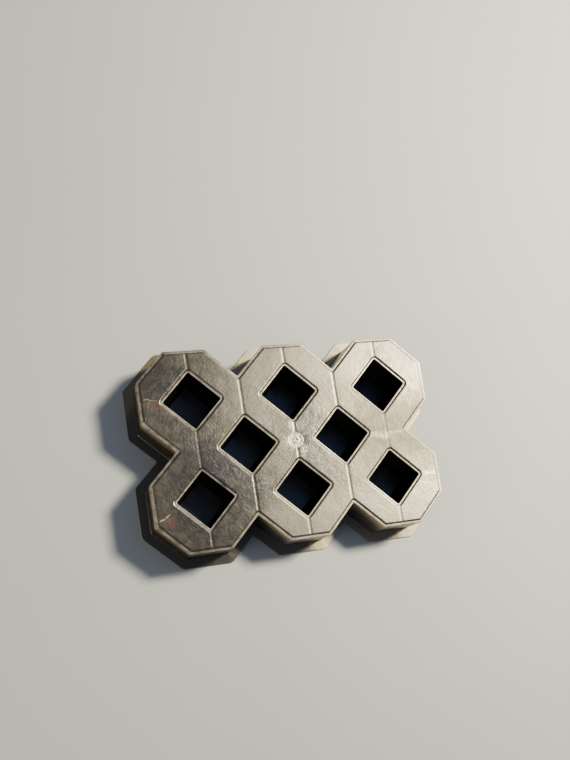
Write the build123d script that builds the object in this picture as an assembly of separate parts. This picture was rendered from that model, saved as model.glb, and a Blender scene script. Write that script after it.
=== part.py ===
"""Plastic mould for casting an eight-hole grass paver, lying open side down.

One moulded piece: a thin tray whose outline is six octagon cells in three columns and two rows.
Eight hollow cores stand in it and leave the paver's square holes, a flange runs round its open
side, and ledges, rounded shoulders and V-grooves in its closed face shape the paver's edges.

Frame: X along the paver's length, Y across it, +Z up towards the closed face. The origin is at the
middle of the underside, where the flange and the ends of the cores rest.
"""
from build123d import *
import os
from math import sqrt, tan, radians

# Layout of the paver that the mould casts (mm, degrees)
cell = 200.0              # spacing of the octagon cells, both ways
columns = 3
rows = 2
cell_bevel = 59.0         # length along a cell's side that each cut-off corner takes
pocket_spacing = 197.0    # of the cores in one row, a little closer than the cells
casting_depth = 84.0      # room for the concrete under the closed face

# Plastic shell
wall = 3.5
outer_draft = 2.0         # how far the outer wall leans out towards the open side
tip_radius = 6.0          # outward corners of the outer wall
notch_radius = 3.0        # inward corners, between two cells

# Hollow cores, seen from outside as square pockets turned by 45 degrees
pocket_side = 81.0        # clear width at the ledge
core_draft = 4.0          # how far a core's sides lean in towards the open side
pocket_radius = 3.0

# Relief of the closed face
step = 2.5                # drop from the face to the ledges
step_lean = 25.0          # lean of the riser between them
shoulder_radius = 3.5     # rounding of the face into that riser
rim_ledge = 4.5           # width of the ledge round the outline
pocket_ledge = 3.5        # width of the ledge round each pocket
groove_width = 11.0       # wide, shallow and V-shaped
groove_depth = 1.6

# Mark where the plastic was let in, in the middle of the face
gate_radius = 16.0
gate_depth = 0.8
button_radius = 7.0       # raised button in the recess
button_height = 0.5
pit_radius = 1.8          # where the feed broke off
pit_depth = 1.2

# Flange round the open side
flange_reach = 20.0       # beyond the foot of the outer wall
flange_thickness = 3.0
flange_radius = 12.0      # its outward corners

top = casting_depth + wall
ledge_level = top - step
floor_level = ledge_level - wall
length = cell * columns
width = cell * rows
notches_x = [cell * (column - columns / 2) for column in range(1, columns)]
notches_y = [cell * (row - rows / 2) for row in range(1, rows)]
pocket_columns = [pocket_spacing * (column - (columns - 1) / 2) for column in range(columns)]
pocket_rows = [pocket_spacing * (row - (rows - 1) / 2) for row in range(rows)]
between_columns = [pocket_spacing * (column - columns / 2) for column in range(1, columns)]
between_rows = [pocket_spacing * (row - rows / 2) for row in range(1, rows)]
pocket_centres = [(x, y) for x in pocket_columns for y in pocket_rows]
pocket_centres += [(x, y) for x in between_columns for y in between_rows]


def outline(grow):
    """The paver's outline with sharp corners, grown by a width all round.

    It is a rectangle with a 45-degree wedge cut out wherever a line between two cells meets its
    edge. The wedges are squares standing on a corner, moved out so that only their tips cut.
    """
    face = Rectangle(length + 2 * grow, width + 2 * grow)
    away = cell / 2
    for column in range(columns + 1):
        for row in range(rows + 1):
            side_x = (column == columns) - (column == 0)
            side_y = (row == rows) - (row == 0)
            if side_x or side_y:
                x = cell * (column - columns / 2) + side_x * away
                y = cell * (row - rows / 2) + side_y * away
                moved_out = (abs(side_x) + abs(side_y)) * away
                side = (cell_bevel + moved_out) * sqrt(2) - 2 * grow
                face -= Pos(x, y) * Rot(0, 0, 45) * Rectangle(side, side)
    return face


def diamond(grow):
    """A pocket's square opening, turned by 45 degrees and grown by a width all round."""
    side = pocket_side + 2 * grow
    return Rot(0, 0, 45) * Rectangle(side, side)


def drafted(face, low, high, lean):
    """A solid on a face, true to it at the ledge level and wider below that by a leaning side."""
    solid = extrude(Pos(0, 0, low) * face, amount=high - low)
    sides = solid.faces().filter_by(Axis.Z, reverse=True)
    return draft(sides, Plane.XY.offset(ledge_level), lean)


def upright_edges(solid):
    return solid.edges().filter_by(lambda edge: abs(edge.tangent_at(0.5).Z) > 0.5)


def in_notch(edge):
    """True for an edge in an inward corner, which lies on a line between two cells."""
    middle = edge.center()
    across = any(abs(middle.X - x) < 0.01 for x in notches_x)
    return across or any(abs(middle.Y - y) < 0.01 for y in notches_y)


def rounded(solid, outward, inward):
    """The solid with its outline's corners rounded, outward and inward ones by their own radius."""
    solid = fillet([edge for edge in upright_edges(solid) if not in_notch(edge)], outward)
    return fillet([edge for edge in upright_edges(solid) if in_notch(edge)], inward)


def at_pockets(solid):
    """One solid for each of the eight cores."""
    return [Pos(x, y) * solid for x, y in pocket_centres]


def disc(radius, low, high):
    return extrude(Pos(0, 0, low) * Circle(radius), amount=high - low)


def grooves(level):
    """V-shaped bars through the pockets' corners, with their tops at a level, clear of the gate."""
    half = groove_width / 2
    section = Polyline((-half, 0), (0, -groove_depth), (half, 0), close=True)
    bar = extrude(Plane.XZ * make_face(section), amount=width / 2, both=True)
    mark = disc(gate_radius, level - groove_width, level + groove_width)
    return [Pos(x, 0, level) * bar - mark for x in pocket_columns + between_columns]


def raised_face():
    """The closed face above its ledges, with rounded shoulders round it and round each pocket."""
    plateau = drafted(outline(-rim_ledge), ledge_level, top, step_lean)
    mouth = drafted(diamond(pocket_ledge), ledge_level, top, -step_lean)
    mouth = fillet(upright_edges(mouth), pocket_radius + pocket_ledge)
    plateau = rounded(plateau, tip_radius, notch_radius) - at_pockets(mouth)
    return fillet(plateau.edges().group_by(Axis.Z)[-1], shoulder_radius)


def outer_form():
    """What the shell fills with its hollows closed: the drafted body, its raised face, the flange."""
    body = rounded(drafted(outline(0), 0, ledge_level, outer_draft), tip_radius, notch_radius)
    foot = ledge_level * tan(radians(outer_draft))
    flange = extrude(outline(foot + flange_reach), amount=flange_thickness)
    return body + raised_face() + rounded(flange, flange_radius, notch_radius)


def pocket():
    """The space in one core, from its blind end up to the ledge."""
    hollow = drafted(diamond(0), wall, ledge_level, -core_draft)
    return fillet(upright_edges(hollow), pocket_radius)


def casting_space():
    """The space that the concrete fills, open at the underside, without the cores."""
    body = drafted(outline(-wall), 0, floor_level, outer_draft)
    relief = extrude(Pos(0, 0, floor_level) * outline(-rim_ledge - wall), amount=step)
    outward = tip_radius - wall
    inward = notch_radius + wall
    return rounded(body, outward, inward) + rounded(relief, outward, inward)


def core():
    """One core with its walls, as far as it stands in the casting space."""
    post = drafted(diamond(wall), 0, floor_level, -core_draft)
    collar = extrude(Pos(0, 0, floor_level) * diamond(pocket_ledge + wall), amount=step)
    radius = pocket_radius + wall
    return fillet(upright_edges(post), radius) + fillet(upright_edges(collar), radius + pocket_ledge)


def gate():
    """The round recess in the middle of the face, with a raised button and a pit in it."""
    bottom = top - gate_depth
    button = disc(button_radius, bottom, bottom + button_height)
    pit = disc(pit_radius, bottom + button_height - pit_depth, top)
    return disc(gate_radius, bottom, top) - button + pit


def mould_shell():
    shell = outer_form() - at_pockets(pocket()) - grooves(top) - gate()
    concrete = casting_space() - at_pockets(core()) - grooves(top - wall)
    return shell - concrete


if __name__ == "__main__":
    os.makedirs("parts", exist_ok=True)
    export_step(mould_shell(), "parts/mould_shell.step")
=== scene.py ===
"""Looks of a plastic mould for grass pavers, which lies on a pale floor, closed face up.

Lengths are in millimetres until a mesh is finished, and in the materials. The frame's own box, the
floor's size, the lamps and the camera are in metres.
"""

import math

import bmesh
import bpy
import numpy as np
from mathutils import Matrix, Vector
from mathutils.geometry import delaunay_2d_cdt


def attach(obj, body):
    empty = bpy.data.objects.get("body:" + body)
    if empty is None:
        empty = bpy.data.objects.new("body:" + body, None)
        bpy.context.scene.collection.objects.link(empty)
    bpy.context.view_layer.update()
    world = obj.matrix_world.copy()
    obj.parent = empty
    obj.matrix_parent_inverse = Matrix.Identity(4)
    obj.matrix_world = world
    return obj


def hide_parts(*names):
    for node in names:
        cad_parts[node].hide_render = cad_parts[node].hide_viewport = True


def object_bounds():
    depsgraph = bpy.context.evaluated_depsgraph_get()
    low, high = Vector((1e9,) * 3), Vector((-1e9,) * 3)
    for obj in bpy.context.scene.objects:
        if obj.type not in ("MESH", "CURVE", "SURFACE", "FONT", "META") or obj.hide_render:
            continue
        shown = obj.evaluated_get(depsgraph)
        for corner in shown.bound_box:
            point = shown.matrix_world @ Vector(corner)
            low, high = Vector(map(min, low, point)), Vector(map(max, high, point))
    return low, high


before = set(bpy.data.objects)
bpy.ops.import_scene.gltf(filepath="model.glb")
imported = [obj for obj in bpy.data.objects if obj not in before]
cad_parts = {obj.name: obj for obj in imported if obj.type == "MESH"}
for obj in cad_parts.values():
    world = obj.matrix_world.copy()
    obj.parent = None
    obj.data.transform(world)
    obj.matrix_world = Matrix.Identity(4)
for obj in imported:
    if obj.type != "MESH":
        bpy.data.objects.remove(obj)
cad_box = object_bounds()

MM = 0.001

# Layout, as in the part's source
CELL = 200.0              # spacing of the octagon cells
COLUMNS = 3
ROWS = 2
CELL_BEVEL = 59.0         # length along a cell's side that each cut-off corner takes
POCKET_SPACING = 197.0
TOP = cad_box[1][2] / MM
WALL = 3.5
OUTER_DRAFT = math.radians(2.0)
TIP_RADIUS = 6.0          # outward corners of the outer wall
NOTCH_RADIUS = 3.0        # inward corners, between two cells
POCKET_SIDE = 81.0        # clear width at the ledge
CORE_DRAFT = math.radians(4.0)
POCKET_RADIUS = 3.0
STEP = 2.5                # drop from the face to the ledges
RIM_LEDGE = 4.5           # width of the ledge round the outline
POCKET_LEDGE = 3.5        # width of the ledge round each pocket
GATE_RADIUS = 16.0
FLANGE_REACH = 20.0       # beyond the foot of the outer wall
FLANGE_THICKNESS = 3.0
FLANGE_RADIUS = 12.0      # its outward corners

LEDGE = TOP - STEP
FLOOR = LEDGE - WALL      # the inner skin under the ledges
LENGTH = CELL * COLUMNS
WIDTH = CELL * ROWS

# Relief of the face, softer than in the part's source
STEP_LEAN = math.radians(47.0)
SHOULDER_RADIUS = 4.5
GROOVE_WIDTH = 9.5
GROOVE_DEPTH = 0.42
GROOVE_END = 1.5          # length over which a groove runs out at the gate
WORN_GROOVE = 0.45        # share of its depth that the first groove has lost in its middle
WORN_REACH = 45.0         # how far from there it is worn

# The gate's mark: radius and depth below the face
GATE_PROFILE = [
    (0.0, 1.5),
    (1.2, 1.5),
    (2.0, 0.35),
    (4.0, 0.25),
    (6.3, 0.3),
    (7.5, 0.5),
    (11.5, 0.5),
    (12.6, 0.3),
    (14.2, 0.35),
    (15.2, 0.6),
    (16.4, 0.1),
    (17.2, 0.0),
]

# Small roundings
LEDGE_ROUNDING = 1.2      # outer edge of the ledges
FLANGE_ROUNDING = 1.0
FOOT_FILLET = 2.0         # between the outer wall and the flange
BLIND_FILLET = 1.0        # round the blind end of a pocket

# Fineness of the mesh
ARC_STEPS = 6             # along a rounded corner
SIDE_STEPS = 4            # along a straight side
LEAST_RADIUS = 0.02       # of a sharp corner, which has as many points as a rounded one
EDGE_LOOPS = 5            # over a small rounding
LEVELS = 7                # down a wall
GATE_STEPS = 48           # round the gate
SAME_POINT = 0.002        # points nearer than this are merged
SHARP_ANGLE = math.radians(38)

# Extra points in the face
GROOVE_TRACKS = 13        # lines of points along a groove
TRACK_SPREAD = 1.1        # the outer ones' place, in halves of the groove's width
TRACK_OVERHANG = 1.5      # how far they go on past the riser's foot
TRACK_FROM_GATE = 1.3
TRACK_POINTS = 3          # in the shortest line
FACE_GRID = 12.0          # spacing of the points in the flat face
GRID_FROM_SHOULDER = 2.0
GRID_FROM_GATE = 4.0
LOOP_FROM_SHOULDER = 0.6  # the loop where the flat face begins


# Outlines


def paver_corners():
    """Corners of the outline, anticlockwise: two on each cell's side and one in each notch."""
    corners = []
    for quarter in range(4):
        cells = (COLUMNS, ROWS)[quarter % 2]
        outwards = CELL * (ROWS, COLUMNS)[quarter % 2] / 2
        turn = Matrix.Rotation(quarter * math.pi / 2, 2)
        for number in range(cells):
            start = CELL * (number - cells / 2)
            points = [(start + CELL_BEVEL, -outwards), (start + CELL - CELL_BEVEL, -outwards)]
            if number < cells - 1:
                points.append((start + CELL, CELL_BEVEL - outwards))
            corners += [turn @ Vector(point) for point in points]
    return corners


def diamond_corners():
    """Corners of a pocket's opening at the ledge, anticlockwise."""
    reach = POCKET_SIDE / math.sqrt(2)
    return [Vector(point) * reach for point in ((0, -1), (1, 0), (0, 1), (-1, 0))]


def ring(corners, grow, outward, inward=0.0):
    """Points round an outline that is grown by a width and has its corners rounded.

    All rings of one outline have as many points, so that two of them can be bridged.
    """
    count = len(corners)
    sides = [(corners[(i + 1) % count] - corners[i]).normalized() for i in range(count)]
    normals = [Vector((side.y, -side.x)) for side in sides]
    arcs = []
    for i in range(count):
        before, after = normals[i - 1], normals[i]
        middle = (before + after) / (before + after).length_squared * 2
        convex = before.x * after.y - before.y * after.x > 0
        radius = max(outward, LEAST_RADIUS) if convex else -max(inward, LEAST_RADIUS)
        turn = before.angle(after) * (1 if convex else -1)
        centre = corners[i] + middle * (grow - radius)
        spins = [Matrix.Rotation(turn * step / ARC_STEPS, 2) for step in range(ARC_STEPS + 1)]
        arcs.append([centre + spin @ before * radius for spin in spins])
    points = []
    for i in range(count):
        start, end = arcs[i][-1], arcs[(i + 1) % count][0]
        points += arcs[i]
        points += [start.lerp(end, step / SIDE_STEPS) for step in range(1, SIDE_STEPS)]
    return np.array([tuple(point) for point in points])


def grid_lines(spacing, count):
    return [spacing * (number - (count - 1) / 2) for number in range(count)]


def grid_points(spacing, columns, rows):
    return [(x, y) for x in grid_lines(spacing, columns) for y in grid_lines(spacing, rows)]


PAVER = paver_corners()
DIAMOND = diamond_corners()
GROOVE_LINES = grid_lines(POCKET_SPACING / 2, 2 * COLUMNS - 1)
POCKETS = np.array(
    grid_points(POCKET_SPACING, COLUMNS, ROWS) + grid_points(POCKET_SPACING, COLUMNS - 1, ROWS - 1)
)


# Skins of the closed face


def distance_inside(points, loop):
    """Distance of points from a closed loop, positive inside it."""
    nearest = np.full(len(points), np.inf)
    inside = np.zeros(len(points), bool)
    for start, end in zip(loop, np.roll(loop, -1, axis=0)):
        along = end - start
        share = np.clip((points - start) @ along / (along @ along), 0, 1)
        gap = np.linalg.norm(points - start - share[:, None] * along, axis=1)
        nearest = np.minimum(nearest, gap)
        spans = (start[1] > points[:, 1]) != (end[1] > points[:, 1])
        if start[1] != end[1]:
            crossing = start[0] + (points[:, 1] - start[1]) * along[0] / along[1]
            inside ^= spans & (points[:, 0] < crossing)
    return np.where(inside, nearest, -nearest)


# Where the leaning riser passes into its rounded shoulder, and where that ends in the flat face
KNEE_HEIGHT = STEP - SHOULDER_RADIUS * (1 - math.sin(STEP_LEAN))
KNEE = KNEE_HEIGHT * math.tan(STEP_LEAN)
SHOULDER_END = KNEE + SHOULDER_RADIUS * math.cos(STEP_LEAN)


def shoulder_rise(distance):
    """Height above the ledge at a distance inwards from the riser's foot."""
    riser = np.clip(distance, 0, KNEE) / math.tan(STEP_LEAN)
    short = np.clip(SHOULDER_END - distance, 0, SHOULDER_RADIUS)
    arc = STEP - SHOULDER_RADIUS + np.sqrt(SHOULDER_RADIUS ** 2 - short ** 2)
    return np.where(distance < KNEE, riser, arc)


def shoulder_stations():
    """Distances from the riser's foot at which its rounding needs a loop of points."""
    turns = [(math.pi / 2 - STEP_LEAN) * (1 - step / ARC_STEPS) for step in range(ARC_STEPS + 1)]
    arc = [SHOULDER_END - SHOULDER_RADIUS * math.sin(turn) for turn in turns]
    return [0.0] + arc + [SHOULDER_END + LOOP_FROM_SHOULDER]


def groove_share(points):
    """How much of the grooves' depth each point has: 1 at the bottom, with soft shoulders."""
    share = np.zeros(len(points))
    for x in GROOVE_LINES:
        across = np.abs(points[:, 0] - x) / (GROOVE_WIDTH / 2)
        share = np.maximum(share, (1 + np.cos(math.pi * np.clip(across, 0, 1))) / 2)
    from_worn = np.hypot(points[:, 0] - GROOVE_LINES[0], points[:, 1])
    share = share * (1 - WORN_GROOVE * np.exp(-(from_worn / WORN_REACH) ** 2))
    from_gate = np.hypot(*points.T) - GATE_RADIUS
    return share * np.clip(from_gate / GROOVE_END, 0, 1)


class Skin:
    """One of the closed face's two skins, whose risers stand inwards by an inset."""

    def __init__(self, outer_ring, pocket_ring, inset, level):
        self.outer = outer_ring
        self.holes = [pocket_ring + centre for centre in POCKETS]
        self.inset = inset
        self.level = level
        self.feet = self.loops(0.0)

    def loops(self, distance):
        """Loops at a distance inwards from the riser's feet, round the outline and the pockets."""
        shrink = RIM_LEDGE + self.inset + distance
        rim = ring(PAVER, -shrink, TIP_RADIUS - distance, NOTCH_RADIUS + distance)
        grow = POCKET_LEDGE + self.inset + distance
        mouth = ring(DIAMOND, grow, POCKET_RADIUS + grow)
        return [rim] + [mouth + centre for centre in POCKETS]

    def from_riser(self, points):
        distances = [distance_inside(points, foot) for foot in self.feet]
        return np.minimum(distances[0], -np.max(distances[1:], axis=0))

    def height(self, points):
        rise = shoulder_rise(self.from_riser(points))
        rise = rise * (1 - groove_share(points) * GROOVE_DEPTH / STEP)
        radii, depths = zip(*GATE_PROFILE)
        return self.level + rise - np.interp(np.hypot(*points.T), radii, depths)

    def groove_tracks(self):
        """Lines along the grooves, just past the riser's feet and clear of the gate."""
        tracks = []
        steps = np.arange(-WIDTH / 2, WIDTH / 2)
        for x in GROOVE_LINES:
            for across in np.linspace(-TRACK_SPREAD, TRACK_SPREAD, GROOVE_TRACKS):
                line = np.column_stack([np.full(len(steps), x + across * GROOVE_WIDTH / 2), steps])
                shown = self.from_riser(line) > -TRACK_OVERHANG
                shown &= np.hypot(*line.T) > GATE_RADIUS + TRACK_FROM_GATE
                changes = np.flatnonzero(np.diff(shown.astype(int)))
                for start, end in zip(changes[::2], changes[1::2]):
                    count = max(TRACK_POINTS, int((steps[end] - steps[start]) / FACE_GRID))
                    tracks.append(np.linspace(line[start + 1], line[end], count))
        return tracks

    def face_spots(self):
        """Extra points in the flat face, on a grid."""
        columns = np.arange(-LENGTH / 2, LENGTH / 2, FACE_GRID)
        rows = np.arange(-WIDTH / 2, WIDTH / 2, FACE_GRID)
        spots = np.array([(x, y) for x in columns for y in rows]) + FACE_GRID / 2
        clear = self.from_riser(spots) > SHOULDER_END + GRID_FROM_SHOULDER
        clear &= np.hypot(*spots.T) > GATE_RADIUS + GRID_FROM_GATE
        for x in GROOVE_LINES:
            clear &= np.abs(spots[:, 0] - x) > GROOVE_WIDTH
        return spots[clear]

    def mesh(self):
        """Points and triangles of the skin, with edges along every loop and every groove."""
        points, edges = [], []

        def add(line, closed):
            start = len(points)
            points.extend(Vector(spot) for spot in line.tolist())
            edges.extend((i, i + 1) for i in range(start, len(points) - 1))
            if closed:
                edges.append((len(points) - 1, start))

        for loop in [self.outer] + self.holes:
            add(loop, True)
        for distance in shoulder_stations():
            for loop in self.loops(distance):
                add(loop, True)
        for track in self.groove_tracks():
            add(track, False)
        turns = np.linspace(0, 2 * math.pi, GATE_STEPS, endpoint=False)
        circle = np.column_stack([np.cos(turns), np.sin(turns)])
        for radius, _ in GATE_PROFILE[1:]:
            add(radius * circle, True)
        points.extend(Vector(spot) for spot in self.face_spots().tolist())

        whole_hull, epsilon = 0, 1e-4
        flat, _, faces, *_ = delaunay_2d_cdt(points, edges, [], whole_hull, epsilon)
        flat = np.array([tuple(point) for point in flat])
        middles = np.array([flat[list(face)].mean(axis=0) for face in faces])
        inside = distance_inside(middles, self.outer) > 0
        for hole in self.holes:
            inside &= distance_inside(middles, hole) < 0
        kept = [tuple(face) for face, keep in zip(faces, inside) if keep]
        return np.column_stack([flat, self.height(flat)]), kept


# Walls


def wall_grow(level):
    """How far the outer wall's outside stands beyond the paver's outline at a level."""
    return (LEDGE - level) * math.tan(OUTER_DRAFT)


def pocket_grow(level):
    """How far a pocket's side stands beyond its outline at the ledge, less than 0 below that."""
    return -(LEDGE - level) * math.tan(CORE_DRAFT)


def rounding(grow, level, radius, start, end):
    """Growths and levels along a rounded edge, from one angle about its centre to another."""
    angles = np.radians(np.linspace(start, end, EDGE_LOOPS))
    return [(grow + radius * math.cos(a), level + radius * math.sin(a)) for a in angles]


def bridge(rings):
    """Points and quads between rings, each a flat loop with its level."""
    count = len(rings[0][0])
    points = [np.column_stack([loop, np.full(count, level)]) for loop, level in rings]
    faces = []
    for first in range(0, count * (len(rings) - 1), count):
        second = first + count
        for i in range(count):
            j = (i + 1) % count
            faces.append((first + i, second + i, second + j, first + j))
    return np.vstack(points), faces


def capped(rings):
    """Rings bridged, with the last one closed to a point in its middle."""
    points, faces = bridge(rings)
    last = range(len(points) - len(rings[-1][0]), len(points))
    closed = [(i, len(points), i + 1 if i < last[-1] else last[0]) for i in last]
    return np.vstack([points, points[list(last)].mean(axis=0)]), faces + closed


def skirt():
    """Outer wall, flange and inner wall: from the ledge down, round the flange and up inside."""
    rings = []
    for grow, level in rounding(-LEDGE_ROUNDING, LEDGE - LEDGE_ROUNDING, LEDGE_ROUNDING, 90, 0):
        rings.append((ring(PAVER, grow, TIP_RADIUS + grow, NOTCH_RADIUS - grow), level))
    foot_top = FLANGE_THICKNESS + FOOT_FILLET
    for level in np.linspace(LEDGE - LEDGE_ROUNDING, foot_top, LEVELS)[1:]:
        rings.append((ring(PAVER, wall_grow(level), TIP_RADIUS, NOTCH_RADIUS), level))
    foot = wall_grow(foot_top)
    for grow, level in rounding(foot + FOOT_FILLET, foot_top, FOOT_FILLET, 180, 270)[1:]:
        spread = grow - foot
        rings.append((ring(PAVER, grow, TIP_RADIUS + spread, NOTCH_RADIUS - spread), level))
    reach = wall_grow(0) + FLANGE_REACH - FLANGE_ROUNDING
    edge = rounding(reach, FLANGE_THICKNESS - FLANGE_ROUNDING, FLANGE_ROUNDING, 90, 0)
    edge += rounding(reach, FLANGE_ROUNDING, FLANGE_ROUNDING, 0, -90)
    for grow, level in edge:
        rings.append((ring(PAVER, grow, FLANGE_RADIUS, NOTCH_RADIUS), level))
    for level in np.linspace(0, FLOOR, LEVELS):
        inside = ring(PAVER, wall_grow(level) - WALL, TIP_RADIUS - WALL, NOTCH_RADIUS + WALL)
        rings.append((inside, level))
    return bridge(rings)


def core():
    """The pocket down to its blind end, and the core's outside down to the floor."""
    stations = rounding(LEDGE_ROUNDING, LEDGE - LEDGE_ROUNDING, LEDGE_ROUNDING, 90, 180)
    blind = WALL + BLIND_FILLET
    for level in np.linspace(LEDGE - LEDGE_ROUNDING, blind, LEVELS)[1:]:
        stations.append((pocket_grow(level), level))
    stations += rounding(pocket_grow(blind) - BLIND_FILLET, blind, BLIND_FILLET, 0, -90)[1:]
    pocket = []
    for grow, level in stations:
        pocket.append((ring(DIAMOND, grow, POCKET_RADIUS + max(grow, 0)), level))
    post = []
    for level in np.linspace(FLOOR, 0, LEVELS):
        post.append((ring(DIAMOND, pocket_grow(level) + WALL, POCKET_RADIUS + WALL), level))
    points, faces = capped(pocket)
    post_points, post_faces = capped(post)
    faces = [face[::-1] for face in faces]
    faces += [tuple(i + len(points) for i in face) for face in post_faces]
    return np.vstack([points, post_points]), faces


# Node trees


class Socket:
    """A node's output, which Python's operators join to others with Math nodes."""

    def __init__(self, tree, output):
        self.tree = tree
        self.output = output

    def math(self, operation, *values):
        return self.tree.node("ShaderNodeMath", {"operation": operation}, *values)

    def __add__(self, other):
        return self.math("ADD", self, other)

    def __radd__(self, other):
        return self.math("ADD", other, self)

    def __sub__(self, other):
        return self.math("SUBTRACT", self, other)

    def __rsub__(self, other):
        return self.math("SUBTRACT", other, self)

    def __mul__(self, other):
        return self.math("MULTIPLY", self, other)

    def __rmul__(self, other):
        return self.math("MULTIPLY", other, self)

    def __truediv__(self, other):
        return self.math("DIVIDE", self, other)

    def __abs__(self):
        return self.math("ABSOLUTE", self)

    def root(self):
        return self.math("SQRT", self)

    def eased(self, low, high, below, above):
        """One value below a first mark on the socket, another above a second, smooth between."""
        smooth = {"interpolation_type": "SMOOTHSTEP"}
        return self.tree.node("ShaderNodeMapRange", smooth, self, low, high, below, above)

    def rise(self, low, high):
        """0 below one value of the socket, 1 above another."""
        return self.eased(low, high, 0.0, 1.0)

    def fall(self, low, high):
        """1 below one value of the socket, 0 above another."""
        return self.eased(low, high, 1.0, 0.0)

    def band(self, start, full, fade, end):
        """1 in a range of the socket's values, which begins and ends softly, and 0 outside it."""
        return self.rise(start, full) * self.fall(fade, end)


class Tree:
    """A node tree, to which one method adds every kind of node."""

    def __init__(self, node_tree):
        self.nodes = node_tree.nodes
        self.links = node_tree.links

    def node(self, kind, settings, *values, out=None, **named):
        """Add a node: settings first, then its inputs in order or by name. Returns an output."""
        node = self.nodes.new(kind)
        for name, value in settings.items():
            setattr(node, name, value)
        sockets = list(zip((socket for socket in node.inputs if socket.enabled), values))
        sockets += [(node.inputs[name.replace("_", " ")], value) for name, value in named.items()]
        for socket, value in sockets:
            if isinstance(value, Socket):
                self.links.new(value.output, socket)
            elif value is not None:
                socket.default_value = value
        shown = [output for output in node.outputs if output.enabled and out in (None, output.name)]
        return Socket(self, shown[0]) if shown else None

    def feed(self, surface, **values):
        """Link values to the named sockets of a surface shader."""
        for name, value in values.items():
            self.links.new(value.output, surface.inputs[name.replace("_", " ")])

    def axis(self, vector, name):
        """One of a vector's X, Y and Z."""
        return self.node("ShaderNodeSeparateXYZ", {}, vector, out=name)

    def stretched(self, place, *factors):
        """The place with each of its axes multiplied by a factor."""
        return self.node("ShaderNodeVectorMath", {"operation": "MULTIPLY"}, place, factors)

    def colours(self, share, first, second):
        """The first colour where the share is 0 and the second where it is 1."""
        return self.node("ShaderNodeMix", {"data_type": "RGBA"}, share, first, second)

    def noise(self, place, size, detail=2.0, roughness=0.5, distortion=0.0):
        """Cloudy noise from 0 to 1 with features of a size in the place's own units."""
        named = {"Vector": place, "Scale": 1 / size, "Detail": detail, "Roughness": roughness}
        return self.node("ShaderNodeTexNoise", {}, Distortion=distortion, **named)

    def relief(self, heights):
        """The surface's normal, bent by heights in millimetres."""
        return self.node("ShaderNodeBump", {}, Strength=1.0, Distance=MM, Height=heights)


# Repeats


def repeat_tree():
    """A tree that sets its piece on every point of two grids, one inside the other."""
    group = bpy.data.node_groups.new("cores in their rows", "GeometryNodeTree")
    add = group.interface.new_socket
    add("Geometry", in_out="INPUT", socket_type="NodeSocketGeometry")
    add("Spacing", in_out="INPUT", socket_type="NodeSocketFloat")
    add("Columns", in_out="INPUT", socket_type="NodeSocketInt")
    add("Rows", in_out="INPUT", socket_type="NodeSocketInt")
    add("Material", in_out="INPUT", socket_type="NodeSocketMaterial")
    add("Geometry", in_out="OUTPUT", socket_type="NodeSocketGeometry")
    tree = Tree(group)
    given = group.nodes.new("NodeGroupInput")
    piece, spacing, columns, rows, material = [Socket(tree, given.outputs[i]) for i in range(5)]
    join = group.nodes.new("GeometryNodeJoinGeometry")
    for fewer in (0, 1):
        across, down = columns - fewer, rows - fewer
        sizes = (spacing * (across - 1), spacing * (down - 1))
        grid = tree.node("GeometryNodeMeshGrid", {}, *sizes, across, down)
        pieces = tree.node("GeometryNodeInstanceOnPoints", {}, grid, Instance=piece)
        tree.links.new(pieces.output, join.inputs[0])
    made = tree.node("GeometryNodeRealizeInstances", {}, Socket(tree, join.outputs[0]))
    made = tree.node("GeometryNodeSetMaterial", {}, made, Material=material)
    tree.links.new(made.output, group.nodes.new("NodeGroupOutput").inputs[0])
    return group


def repeated(piece, group, inputs):
    """The piece's mesh as a tree repeats it, with the tree's named inputs set."""
    modifier = piece.modifiers.new("repeat", "NODES")
    modifier.node_group = group
    for item in group.interface.items_tree:
        if item.in_out == "INPUT" and item.name in inputs:
            modifier[item.identifier] = inputs[item.name]
    piece.update_tag()
    shown = piece.evaluated_get(bpy.context.evaluated_depsgraph_get())
    mesh = bpy.data.meshes.new_from_object(shown)
    piece.modifiers.remove(modifier)
    return mesh


# Pieces


def add_object(name, data):
    """Put a mesh, a lamp or a camera into the scene."""
    made = bpy.data.objects.new(name, data)
    bpy.context.scene.collection.objects.link(made)
    return made


def new_piece(name, points, faces):
    mesh = bpy.data.meshes.new(name)
    mesh.from_pydata([tuple(point) for point in points.tolist()], [], faces)
    return add_object(name, mesh)


def cores(material):
    """The mesh of all eight cores."""
    single = new_piece("core", *core())
    inputs = {"Spacing": POCKET_SPACING, "Columns": COLUMNS, "Rows": ROWS, "Material": material}
    mesh = repeated(single, repeat_tree(), inputs)
    bpy.data.objects.remove(single)
    return mesh


def face_skins():
    """The face's outer skin and its inner one, each as far as the walls that it meets."""
    outer = Skin(
        ring(PAVER, -LEDGE_ROUNDING, TIP_RADIUS - LEDGE_ROUNDING, NOTCH_RADIUS + LEDGE_ROUNDING),
        ring(DIAMOND, LEDGE_ROUNDING, POCKET_RADIUS + LEDGE_ROUNDING),
        0.0,
        LEDGE,
    )
    inner = Skin(
        ring(PAVER, wall_grow(FLOOR) - WALL, TIP_RADIUS - WALL, NOTCH_RADIUS + WALL),
        ring(DIAMOND, pocket_grow(FLOOR) + WALL, POCKET_RADIUS + WALL),
        WALL,
        FLOOR,
    )
    return outer, inner


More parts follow.
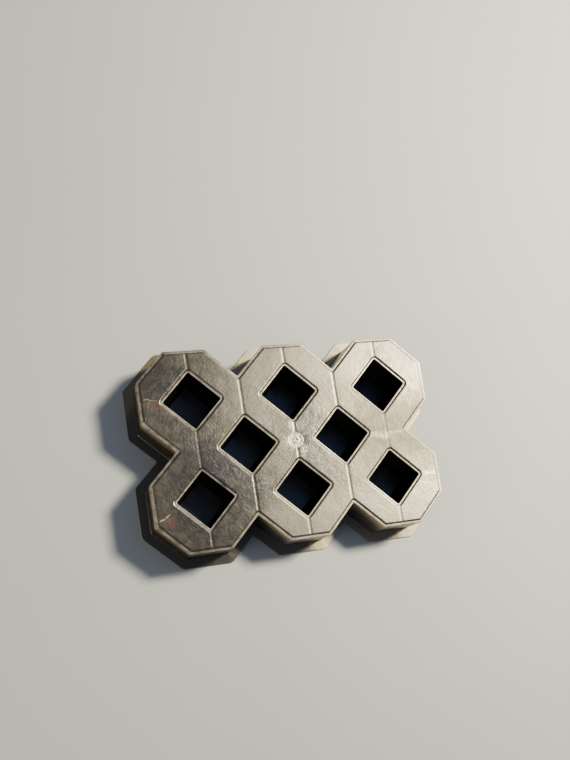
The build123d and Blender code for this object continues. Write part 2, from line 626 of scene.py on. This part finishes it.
def mould_body(shell_plastic, pocket_plastic):
    """The whole mould as one closed mesh: two skins, the skirt between them and eight cores."""
    pocket_index, shell_index = 0, 1
    shape = bmesh.new()
    shape.from_mesh(cores(pocket_plastic))
    for face in shape.faces:
        face.material_index = pocket_index
    for points, faces in [skin.mesh() for skin in face_skins()] + [skirt()]:
        corners = [shape.verts.new(point) for point in points.tolist()]
        for face in faces:
            shape.faces.new([corners[i] for i in face]).material_index = shell_index
    loose = [corner for corner in shape.verts if not corner.link_faces]
    bmesh.ops.delete(shape, geom=loose, context="VERTS")
    bmesh.ops.remove_doubles(shape, verts=shape.verts, dist=SAME_POINT)
    bmesh.ops.recalc_face_normals(shape, faces=shape.faces)
    bmesh.ops.scale(shape, vec=(MM, MM, MM), verts=shape.verts)

    mesh = bpy.data.meshes.new("mould_body")
    shape.to_mesh(mesh)
    shape.free()
    mesh.materials.append(pocket_plastic)
    mesh.materials.append(shell_plastic)
    mesh.shade_smooth()
    mesh.set_sharp_from_angle(angle=SHARP_ANGLE)
    return add_object("mould_body", mesh)


# Colours of the plastic, of what lies on it, and of the light and shade painted on it

DARK_PLASTIC = (0.026, 0.0245, 0.0225, 1)
# Painted shade: the pockets' plastic, darker than the shell's
SHADED_POCKET_PLASTIC = (0.010, 0.009, 0.009, 1)
GREY_DUST = (0.040, 0.037, 0.032, 1)
# Brown blotches on the face, also a painted reflection of warm light high on the pocket walls
BROWN_BLOTCH_AND_REFLECTION = (0.046, 0.034, 0.026, 1)
RED_SCUFF = (0.078, 0.034, 0.029, 1)
SILVER_STREAK = (0.15, 0.155, 0.15, 1)
# Pale wear, and a painted highlight along the edges of the ledges, the flange and the pockets'
# mouths
EDGE_WEAR_AND_HIGHLIGHT = (0.29, 0.29, 0.285, 1)
GATE_BLUSH = (0.50, 0.50, 0.47, 1)
# A brown line in the creases at the risers' feet
CREASE_BROWN = (0.09, 0.07, 0.052, 1)
# Painted light on the risers that face the key lamp
PAINTED_RISER_LIGHT = (0.32, 0.32, 0.31, 1)
DARK_CRACK = (0.02, 0.022, 0.026, 1)
# Painted sunlight on the flange
CREAM_PAINTED_SUNLIGHT = (0.40, 0.35, 0.25, 1)
# Dust on the walls, also a painted reflection high on the walls that face -X
WALL_DUST_AND_REFLECTION = (0.29, 0.205, 0.11, 1)
ROSE_HAZE = (0.068, 0.053, 0.046, 1)
GREEN_HAZE = (0.036, 0.041, 0.036, 1)

# Pale lines where two flows of plastic met: start and end along X, the place across and its slope,
# width, strength
KNIT_LINES = [
    (158, 205, -5, -0.15, 9, 0.65),
    (196, 236, -4, 0.0, 4, 0.5),
    (258, 294, -97, -0.1, 6, 0.95),
    (-290, -264, 106, -0.1, 1.6, 0.35),
    (-291, -268, -131, 0.5, 1.8, 0.7),
]
WANDER = 9                # how far a line strays from straight, from side to side
WANDER_SIZE = 14          # length over which it does so
CRACKS_PER_MM = 0.17
RUN_SQUEEZE = 0.12        # of a noise's heights, which draws it out downwards


def oval(centre_x, centre_y, half_x, half_y, soft=0.5, strength=1.0):
    """A place seen from above: its centre, half its sizes, how soft its edge is, its strength."""
    return centre_x, centre_y, half_x, half_y, soft, strength


RED_SCUFFS = [oval(-270, 93, 15, 9), oval(-270, -136, 15, 9), oval(-279, -118, 8, 8, strength=0.4)]
PALE_SPECKS = [oval(-84, -81, 16, 13), oval(-2, 33, 9, 12)]
DULL_PATCH = [oval(-188, -12, 24, 52, 0.7)]
DULL_PATCH_START = (-200, -195)
FLOW_BLUSH = [oval(14, -20, 6, 8), oval(-5, 32, 7, 10)]
SCRATCHED_BLUSH = [oval(5, -34, 9, 13), oval(1, 31, 8, 13)]
CRACKED_PLACES = [oval(4, -32, 8, 14), oval(2, 30, 8, 14)]
# Painted sunlight on the flange beside two of the bottom tips
PAINTED_SUNLIT_TIPS = [oval(62, -208, 42, 32, strength=0.6), oval(262, -206, 42, 34, strength=0.6)]
GLOSSY_PLACES = [oval(-121, 105, 30, 60, 0.8, 0.9), oval(-66, 70, 30, 60, 0.8, 0.8)]
DULLED_CORNER = [oval(235, 155, 60, 60, 0.8, 0.8)]
SMOOTHER_PLACES = [
    oval(36, 0, 50, 85, 0.8, 0.085),
    oval(-84, -92, 28, 45, 0.8, 0.08),
    oval(-182, -100, 80, 106, 0.6, 0.09),
    oval(-250, 150, 40, 50, 0.8, 0.05),
]

# Heights at which marks lie: where they begin, are full, start to fade and end
FACE_START = (LEDGE + 0.6, TOP - 0.3)
RISER_CREASE = (LEDGE + 0.02, LEDGE + 0.12, LEDGE + 1.0, LEDGE + 2.0)
LEDGE_TOP = (LEDGE - 0.4, LEDGE - 0.05, LEDGE + 0.2, LEDGE + 1.4)
LEDGE_EDGE = (LEDGE - 1.6, LEDGE - 0.7, LEDGE - 0.12, LEDGE + 0.02)
HIGH_WALL = (LEDGE - 34, LEDGE - 4, LEDGE - 1.6, LEDGE - 1.0)
WHOLE_FLANGE = (0.05, 0.3, FLANGE_THICKNESS + 0.1, FLANGE_THICKNESS + 0.8)
FLANGE_EDGE = (1.9, 2.2, 2.8, 2.97)

# Directions that the risers with painted light and the walls with a painted reflection face
LIT_RISER_SIDE = (0.75, 0.65, 0.0)
REFLECTING_WALL_SIDE = (-0.9, -0.4, 0.0)


# Materials


def new_material(name, **constants):
    """A material, its tree, its surface shader with constants set, and places in millimetres."""
    material = bpy.data.materials.new(name)
    material.use_nodes = True
    material.node_tree.nodes.clear()
    tree = Tree(material.node_tree)
    surface = tree.nodes.new("ShaderNodeBsdfPrincipled")
    for socket, value in constants.items():
        surface.inputs[socket.replace("_", " ")].default_value = value
    output = tree.nodes.new("ShaderNodeOutputMaterial")
    tree.links.new(surface.outputs[0], output.inputs["Surface"])
    metres = tree.node("ShaderNodeTexCoord", {}, out="Object")
    return material, tree, surface, tree.stretched(metres, 1 / MM, 1 / MM, 1 / MM)


def edge_wear(tree, place):
    """How worn an edge is, from 0 to 1, in patches."""
    return tree.noise(place, 17, detail=4, roughness=0.65).rise(0.3, 0.62)


def runs_down(tree, place, size):
    """Noise that is drawn out downwards, as on a wall that something has run down."""
    drawn_out = tree.stretched(place, 1, 1, RUN_SQUEEZE)
    return tree.noise(drawn_out, size, detail=4, roughness=0.6)


class ShellMarks:
    """The marks on the shell's plastic and the light painted on it, with the places and noises that
    several of them share.

    The pair of numbers after rise or fall is where a mark fades in over its noise or its place, and
    a factor after that is the mark's strength.
    """

    def __init__(self, tree, place):
        self.tree = tree
        self.place = place
        self.x, self.y, self.z = [tree.axis(place, name) for name in "XYZ"]
        self.from_gate = (self.x * self.x + self.y * self.y).root()
        self.normal = tree.node("ShaderNodeTexCoord", {}, out="Normal")

        self.patches = tree.noise(place, 17, detail=4, roughness=0.6, distortion=0.5)
        self.mottle = tree.noise(place, 5.5, detail=4, roughness=0.68, distortion=0.8)
        self.grain = tree.noise(place, 2.2, detail=3, roughness=0.6)
        self.flow_fronts = self.round_the_gate(7, 3.0, detail=3, distortion=0.7)
        self.scratches = self.round_the_gate(45, 8, detail=2, distortion=0.8)
        self.wander = (tree.noise(place, WANDER_SIZE) - 0.5) * WANDER
        self.wear = edge_wear(tree, place)

        self.left_end = self.x.fall(-260, -60)
        self.dull_patch = self.spots(DULL_PATCH) * self.x.rise(*DULL_PATCH_START)

    def round_the_gate(self, turns, length, detail, distortion=0.0):
        """Noise in polar places about the gate: features per turn, and their length outwards."""
        to_x, to_y = self.x / self.from_gate, self.y / self.from_gate
        parts = (to_x * turns, to_y * turns, self.from_gate / length)
        polar = self.tree.node("ShaderNodeCombineXYZ", {}, *parts)
        return self.tree.noise(polar, 1.0, detail, roughness=0.6, distortion=distortion)

    def spots(self, ovals):
        """The sum of ovals, each of its own strength inside and 0 outside."""
        shares = []
        for centre_x, centre_y, half_x, half_y, soft, strength in ovals:
            across, along = (self.x - centre_x) / half_x, (self.y - centre_y) / half_y
            inside = (across * across + along * along).fall(1 - soft, 1 + soft)
            shares.append(inside * strength)
        return sum(shares)

    def facing(self, direction):
        """Near 1 where the surface faces a direction, 0 where it is square to it."""
        dot = {"operation": "DOT_PRODUCT"}
        return self.tree.node("ShaderNodeVectorMath", dot, self.normal, direction)

    def face_colour(self, plain):
        """Plain plastic under grey dust, blotches, hazes, flow streaks, specks and scuffs."""
        tree, mottle = self.tree, self.mottle
        colour = tree.colours(self.patches.rise(0.42, 0.62) * 0.9, plain, GREY_DUST)
        blotches = tree.noise(self.place, 30, detail=5, roughness=0.62, distortion=0.6)
        blotches = blotches.rise(0.42, 0.70) * mottle.rise(0.35, 0.65)
        blotches = blotches * (0.25 + self.left_end * 0.35) + self.dull_patch * 0.3
        colour = tree.colours(blotches, colour, BROWN_BLOTCH_AND_REFLECTION)
        hazes = tree.noise(self.place, 24, detail=4, roughness=0.62, distortion=0.6)
        rightwards = 0.06 + self.x.rise(-110, 190) * 0.7
        colour = tree.colours(hazes.rise(0.50, 0.64) * rightwards, colour, ROSE_HAZE)
        colour = tree.colours(hazes.fall(0.36, 0.48) * rightwards, colour, GREEN_HAZE)
        streaks = self.round_the_gate(9, 40, detail=3).rise(0.5, 0.75)
        streaks = streaks * self.from_gate.fall(25, 110)
        colour = tree.colours(streaks * 0.45, colour, SILVER_STREAK)
        specks = mottle.rise(0.57, 0.66) * (self.spots(PALE_SPECKS) + self.dull_patch * 0.12)
        colour = tree.colours(specks * 0.8, colour, GATE_BLUSH)
        scuffs = self.spots(RED_SCUFFS) * mottle.rise(0.34, 0.58)
        return tree.colours(scuffs * 0.8, colour, RED_SCUFF)

    def with_knit_lines(self, colour):
        """Pale lines that wander a little, broken up by the mottle."""
        for start, end, across, slope, width, strength in KNIT_LINES:
            middle = across + (self.x - start) * slope
            line = abs(self.y - middle + self.wander).fall(width * 0.1, width * 1.15)
            line = line * self.x.band(start - 2, start + 5, end - 6, end + 2)
            line = line * self.mottle.rise(0.35, 0.6)
            colour = self.tree.colours(line * strength, colour, GATE_BLUSH)
        return colour

    def with_gate_marks(self, colour):
        """Pale blush on and beside the gate, with fine dark cracks, a dark rim and a dark pit."""
        tree, mottle = self.tree, self.mottle
        blush = self.spots(FLOW_BLUSH) * self.flow_fronts.rise(0.45, 0.56)
        blush = blush + self.from_gate.fall(GATE_RADIUS - 1, GATE_RADIUS + 3)
        blush = blush + self.spots(SCRATCHED_BLUSH) * self.scratches.rise(0.45, 0.55) * 0.6
        colour = tree.colours(blush * mottle.rise(0.25, 0.42) * 0.9, colour, GATE_BLUSH)

        to_edge = {"feature": "DISTANCE_TO_EDGE"}
        cracks = tree.node("ShaderNodeTexVoronoi", to_edge, Vector=self.place, Scale=CRACKS_PER_MM)
        cracks = cracks.fall(0.04, 0.2) * (self.from_gate.fall(20, 26) + self.spots(CRACKED_PLACES))
        colour = tree.colours(cracks * 0.8, colour, DARK_CRACK)
        split = abs(self.x - 3 + self.wander * 0.5).fall(0.8, 2.2)
        split = split * abs(self.y).band(GATE_RADIUS, GATE_RADIUS + 3, 38, 43)
        colour = tree.colours(split * mottle.rise(0.4, 0.55) * 0.9, colour, DARK_CRACK)
        rim = abs(self.from_gate - GATE_RADIUS - 1.5).fall(0.7, 2.0) * mottle.rise(0.44, 0.52)
        pit = self.from_gate.fall(1.9, 3.3)
        return tree.colours(rim * 0.6 + pit, colour, DARK_CRACK)

    def with_ledge_wear_and_painted_light(self, colour):
        """Pale wear on the ledges and their outer edges with a painted highlight along those edges,
        a brown line in the risers' creases, and painted light on the risers that face the key lamp.
        """
        tree, z = self.tree, self.z
        # Pale wear on the ledges' outer edges, with a painted highlight along them
        edge = z.band(*LEDGE_EDGE) * (0.35 + self.wear * 0.6) * (1 - self.left_end * 0.5)
        ledges = z.band(*LEDGE_TOP) * (0.05 + self.wear * 0.3)
        colour = tree.colours(edge + ledges, colour, EDGE_WEAR_AND_HIGHLIGHT)
        # A brown line in the creases at the risers' feet, fainter at the left end
        creases = z.band(*RISER_CREASE)
        crease_brown_share = (0.25 + self.patches.rise(0.4, 0.6) * 0.5) * (1 - self.left_end * 0.75)
        colour = tree.colours(creases * crease_brown_share, colour, CREASE_BROWN)
        # Painted light on the risers that face the key lamp, broken up in patches
        painted_riser_light = self.facing(LIT_RISER_SIDE).rise(0.0, 0.5) * (0.45 + self.wear * 0.4)
        return tree.colours(creases * painted_riser_light, colour, PAINTED_RISER_LIGHT)

    def with_painted_flange_light(self, colour):
        """Painted sunlight in cream on the flange, most of it towards +X and +Y, and a painted
        highlight along its edge.
        """
        x, y = self.x, self.y
        # Painted sunlight where the flange would be lit, most towards +X and +Y, and fainter
        # painted light on the shaded flange at the upper left
        painted_flange_light = x.rise(-200, -110) * (x + y).rise(-260, -60) * (0.25 + y.rise(-150, -60) * 0.75)
        painted_flange_light = painted_flange_light + (y - x).rise(395, 440) * 0.25 + self.spots(PAINTED_SUNLIT_TIPS)
        painted_flange_light = painted_flange_light * (0.75 + self.patches.rise(0.35, 0.6) * 0.15)
        colour = self.tree.colours(self.z.band(*WHOLE_FLANGE) * painted_flange_light, colour, CREAM_PAINTED_SUNLIGHT)
        # Painted highlight along the flange's rounded edge
        return self.tree.colours(self.z.band(*FLANGE_EDGE) * 0.8, colour, EDGE_WEAR_AND_HIGHLIGHT)

    def with_wall_smears_and_reflection(self, colour):
        """Dust that ran down the walls and gathered at their foot, and a painted reflection high on
        the walls of one side.
        """
        tree, z = self.tree, self.z
        upright = abs(tree.axis(self.normal, "Z")).fall(0.1, 0.4) * z.fall(LEDGE - 6, LEDGE - 1)
        smears = runs_down(tree, self.place, 7).rise(0.45, 0.75) * 0.11
        smears = smears + self.patches.rise(0.45, 0.65) * z.fall(4, 30) * 0.16
        colour = tree.colours(upright * smears, colour, WALL_DUST_AND_REFLECTION)
        # Painted reflection of bright ground in a band high on the walls that face -X and -Y
        painted_wall_reflection = z.band(*HIGH_WALL) * self.facing(REFLECTING_WALL_SIDE).rise(0.5, 0.9)
        return tree.colours(painted_wall_reflection * (0.6 + self.wear * 0.3), colour, WALL_DUST_AND_REFLECTION)

    def roughness(self):
        """Smoother at the left end and in a few places, rougher at the right and the long sides."""
        x, away = self.x, abs(self.y)
        roughness = 0.27 + self.grain * 0.04 + self.mottle * 0.06 + self.patches * 0.20
        roughness = roughness - self.left_end * 0.07 - self.dull_patch * 0.04
        right_middle = x.rise(90, 160) * away.fall(20, 115)
        middle_ends = x.band(-120, -70, 70, 120) * away.rise(95, 160)
        roughness = roughness + right_middle * 0.13 + middle_ends * 0.05
        return roughness - self.spots(SMOOTHER_PLACES)

    def gloss(self):
        """Where the moulded skin is still whole and shines through the satin."""
        skin = self.x.rise(-110, -60) * abs(self.y).rise(85, 150)
        skin = skin * (1 - self.spots(DULLED_CORNER)) + self.spots(GLOSSY_PLACES)
        return skin * 0.95

    def heights(self):
        """Waves of the face in millimetres, with finer relief that is strongest at the right."""
        fine = self.mottle * 0.34 + self.flow_fronts * 0.24
        fine = fine + self.scratches * 0.05 + self.grain * 0.09
        fineness = 0.6 + self.x.fall(-180, -20) * 0.15 + self.x.rise(60, 240) * 0.35
        waves = self.tree.noise(self.place, 60, detail=1) * 0.8 + self.patches * 0.5
        return waves + fine * fineness


def satin_black_plastic(name, plain, **constants):
    """The shell's plastic: a satin face with its marks, worn ledges with painted highlights,
    painted light on the risers and the flange, and dust on the walls with a painted reflection.
    """
    material, tree, surface, place = new_material(name, **constants)
    marks = ShellMarks(tree, place)
    face = marks.with_knit_lines(marks.face_colour(plain))
    face = marks.with_gate_marks(face)
    colour = tree.colours(marks.z.rise(*FACE_START), plain, face)
    colour = marks.with_ledge_wear_and_painted_light(colour)
    colour = marks.with_painted_flange_light(colour)
    colour = marks.with_wall_smears_and_reflection(colour)
    tree.feed(surface, Base_Color=colour, Roughness=marks.roughness())
    tree.feed(surface, Coat_Weight=marks.gloss(), Normal=tree.relief(marks.heights()))
    return material


def smooth_black_plastic(name, plain, **constants):
    """Smoother plastic down in the pockets, painted darker as shade, with a painted warm reflection
    high on the walls, and wear with a painted highlight only at their mouths.
    """
    material, tree, surface, place = new_material(name, **constants)
    z = tree.axis(place, "Z")
    streaks = runs_down(tree, place, 4)
    # Painted reflection of warm light, in streaks high on the pocket walls
    colour = tree.colours(streaks.rise(0.5, 0.8) * z.rise(20, 75) * 0.2, plain, BROWN_BLOTCH_AND_REFLECTION)
    # Pale wear with a painted highlight at the pockets' mouths
    worn = z.rise(*LEDGE_EDGE[:2]) * (0.35 + edge_wear(tree, place) * 0.6)
    colour = tree.colours(worn, colour, EDGE_WEAR_AND_HIGHLIGHT)
    roughness = 0.32 + streaks * 0.10 + z.rise(LEDGE - 4, LEDGE - 1) * 0.15
    waves = tree.noise(place, 25) * 0.4 + tree.noise(place, 6, detail=3) * 0.08
    tree.feed(surface, Base_Color=colour, Roughness=roughness, Normal=tree.relief(waves))
    return material


# Stage, light and camera

FLOOR_HALF = 20           # half its side, in metres
FLOOR_CLOUDS = 400        # size of its faint clouds
NEAR_FLOOR = (0.30, 0.33, 0.375, 1)
NEAR_FLOOR_CLOUD = (0.32, 0.35, 0.395, 1)
FAR_FLOOR = (0.86, 0.85, 0.83, 1)
FAR_FLOOR_START = (1200, 5000)

# Lamps: azimuth and tilt from straight up in degrees, distance, size, power in watts, colour
LAMPS = {
    "key": (21, 42, 3.4, 0.6, 252, (1.0, 0.875, 0.59)),
    "sky": (36, 22, 2.2, 0.9, 2.5, (0.22, 0.42, 0.95)),
    "fill": (195, 76, 2.4, 1.2, 24, (1.0, 0.86, 0.66)),
}
ZENITH = (0.88, 0.93, 1.0, 1)
HORIZON = (0.36, 0.39, 0.43, 1)
WORLD_STRENGTH = 0.28

# Camera: focal length and lens centre in pixels of the image, sensor in mm, place and axes
FOCAL_PIXELS = 703.5
IMAGE_SIZE = (570, 760)
PRINCIPAL_POINT = (300, 510)
SENSOR_WIDTH = 36
CAMERA_PLACE = Vector((-0.3950, -0.2729, 1.4262))
CAMERA_RIGHT = Vector((0.9544, -0.1549, 0.2554))
CAMERA_UP = Vector((0.1245, 0.9835, 0.1313))      # squared up with the axis to the right


def add_floor():
    """A plain pale floor, paler far out."""
    material, tree, surface, place = new_material("pale floor", Roughness=0.85)
    colour = tree.colours(tree.noise(place, FLOOR_CLOUDS, detail=3), NEAR_FLOOR, NEAR_FLOOR_CLOUD)
    away = tree.node("ShaderNodeVectorMath", {"operation": "LENGTH"}, place, out="Value")
    tree.feed(surface, Base_Color=tree.colours(away.rise(*FAR_FLOOR_START), colour, FAR_FLOOR))
    corners = np.array([(-1, -1, 0), (1, -1, 0), (1, 1, 0), (-1, 1, 0)], float) * FLOOR_HALF
    floor = new_piece("floor", corners, [(0, 1, 2, 3)])
    floor.data.materials.append(material)


def add_lamp(name, azimuth, tilt, distance, size, power, colour):
    """A square soft lamp that points at the mould."""
    light = bpy.data.lights.new(name, "AREA")
    light.shape = "SQUARE"
    light.size = size
    light.energy = power
    light.color = colour
    azimuth, tilt = math.radians(azimuth), math.radians(tilt)
    direction = Vector((
        math.sin(tilt) * math.cos(azimuth),
        math.sin(tilt) * math.sin(azimuth),
        math.cos(tilt),
    ))
    lamp = add_object(name, light)
    lamp.location = direction * distance
    lamp.rotation_euler = direction.to_track_quat("Z", "Y").to_euler()


def add_world():
    """Light from all round, which darkens towards the horizon as the far floor does."""
    world = bpy.data.worlds.new("studio")
    world.use_nodes = True
    tree = Tree(world.node_tree)
    up = tree.axis(tree.node("ShaderNodeTexCoord", {}, out="Generated"), "Z")
    background = tree.nodes["Background"]
    background.inputs["Strength"].default_value = WORLD_STRENGTH
    tree.feed(background, Color=tree.colours(up.rise(0.0, 0.5), HORIZON, ZENITH))
    bpy.context.scene.world = world


def add_camera():
    """The camera, whose lens is shifted so that its centre lies where it should in the image."""
    camera = bpy.data.cameras.new("camera")
    longer = max(IMAGE_SIZE)
    camera.sensor_width = SENSOR_WIDTH
    camera.lens = SENSOR_WIDTH * FOCAL_PIXELS / longer
    camera.shift_x = (IMAGE_SIZE[0] / 2 - PRINCIPAL_POINT[0]) / longer
    camera.shift_y = (PRINCIPAL_POINT[1] - IMAGE_SIZE[1] / 2) / longer
    back = CAMERA_RIGHT.cross(CAMERA_UP).normalized()
    up = back.cross(CAMERA_RIGHT).normalized()
    turned = Matrix((up.cross(back), up, back)).transposed().to_4x4()
    eye = add_object("camera", camera)
    eye.matrix_world = Matrix.Translation(CAMERA_PLACE) @ turned
    bpy.context.scene.camera = eye


shell_plastic = satin_black_plastic(
    "satin black plastic",
    DARK_PLASTIC,
    IOR=1.58,
    Specular_IOR_Level=1.0,
    Coat_Roughness=0.4,
)
# Painted shade makes the pockets' plastic darker than the shell's
pocket_plastic = smooth_black_plastic(
    "black plastic in the pockets",
    SHADED_POCKET_PLASTIC,
    IOR=1.55,
    Specular_IOR_Level=0.85,
)
body = mould_body(shell_plastic, pocket_plastic)
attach(body, "root")
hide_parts("mould_shell")

add_floor()
for lamp_name, settings in LAMPS.items():
    add_lamp(lamp_name, *settings)
add_world()
bpy.context.scene.view_settings.view_transform = "AgX"
bpy.context.scene.view_settings.look = "AgX - High Contrast"
bpy.context.scene.view_settings.exposure = 0.0
add_camera()
